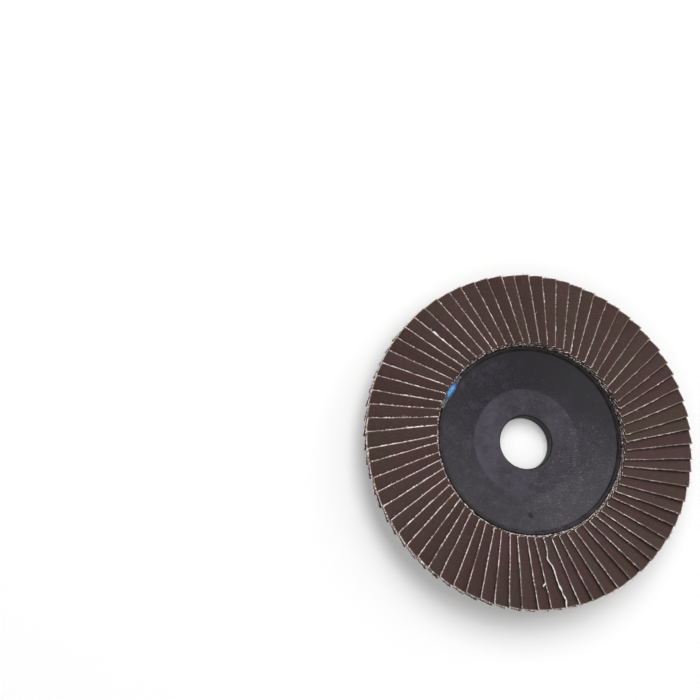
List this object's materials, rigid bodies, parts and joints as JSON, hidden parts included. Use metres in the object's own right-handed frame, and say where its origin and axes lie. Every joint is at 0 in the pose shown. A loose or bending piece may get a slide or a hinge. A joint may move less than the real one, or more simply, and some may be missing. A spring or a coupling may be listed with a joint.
{
  "type": "flap disc",
  "caption": "Flat abrasive flap disc: a dished black plastic plate with a plain bore and a ring of overlapping coated-cloth flaps, for a small angle grinder.",
  "frame": {"origin": "on the bore axis, level with the back face of the hub, which is the lowest face and bears on the grinder's flange", "axes": "+Z along the bore axis, out of the abrasive side; +X and +Y in the plane of the disc, with a flap's centre line along +X"},
  "size_m": [0.1008, 0.1008, 0.011],
  "materials": {
    "plate_nylon": "satin moulded black nylon, lightly scuffed",
    "cured_adhesive": "dark amber cured resin",
    "abrasive_cloth": "fine brown grit on pale woven cloth with frayed cut edges"
  },
  "bodies": {
    "root": {"backing_plate": "plate_nylon", "adhesive_bed": "cured_adhesive", "flap_pair_01": "abrasive_cloth", "flap_pair_02": "abrasive_cloth", "flap_pair_03": "abrasive_cloth", "flap_pair_04": "abrasive_cloth", "flap_pair_05": "abrasive_cloth", "flap_pair_06": "abrasive_cloth", "flap_pair_07": "abrasive_cloth", "flap_pair_08": "abrasive_cloth", "flap_pair_09": "abrasive_cloth", "flap_pair_10": "abrasive_cloth", "flap_pair_11": "abrasive_cloth", "flap_pair_12": "abrasive_cloth", "flap_pair_13": "abrasive_cloth", "flap_pair_14": "abrasive_cloth", "flap_pair_15": "abrasive_cloth", "flap_pair_16": "abrasive_cloth", "flap_pair_17": "abrasive_cloth", "flap_pair_18": "abrasive_cloth", "flap_pair_19": "abrasive_cloth", "flap_pair_20": "abrasive_cloth", "flap_pair_21": "abrasive_cloth", "flap_pair_22": "abrasive_cloth", "flap_pair_23": "abrasive_cloth", "flap_pair_24": "abrasive_cloth", "flap_pair_25": "abrasive_cloth", "flap_pair_26": "abrasive_cloth", "flap_pair_27": "abrasive_cloth", "flap_pair_28": "abrasive_cloth", "flap_pair_29": "abrasive_cloth", "flap_pair_30": "abrasive_cloth", "flap_pair_31": "abrasive_cloth", "flap_pair_32": "abrasive_cloth", "flap_pair_33": "abrasive_cloth", "flap_pair_34": "abrasive_cloth", "flap_pair_35": "abrasive_cloth", "flap_pair_36": "abrasive_cloth"}
  },
  "joints": []
}
